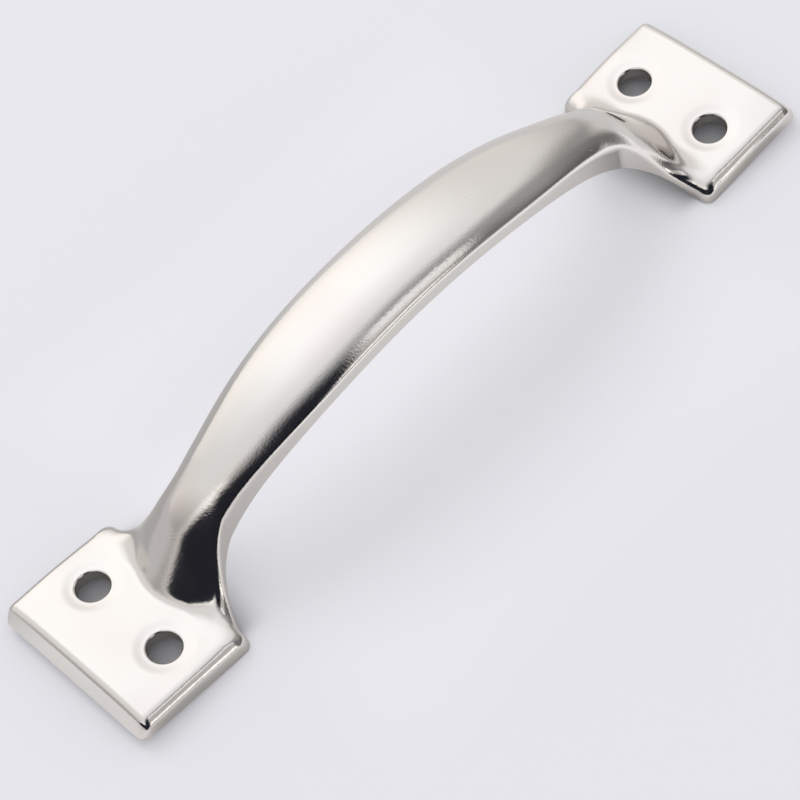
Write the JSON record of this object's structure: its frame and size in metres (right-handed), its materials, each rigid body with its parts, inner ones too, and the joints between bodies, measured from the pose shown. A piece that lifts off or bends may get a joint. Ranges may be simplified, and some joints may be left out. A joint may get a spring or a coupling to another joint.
{
  "type": "bow pull handle",
  "caption": "Pressed sheet metal bow pull handle with a domed grip, flared roots and skirted feet drilled for screws.",
  "frame": {"origin": "middle of the handle's length and width, at the level of the inner tips of the feet", "axes": "+X along the handle, +Y across it, +Z away from the door or drawer front"},
  "size_m": [0.15, 0.033, 0.0299],
  "materials": {
    "plated_steel": "bright plated, faintly brushed across the crown"
  },
  "bodies": {
    "root": {"bow_handle": "plated_steel"}
  },
  "joints": []
}
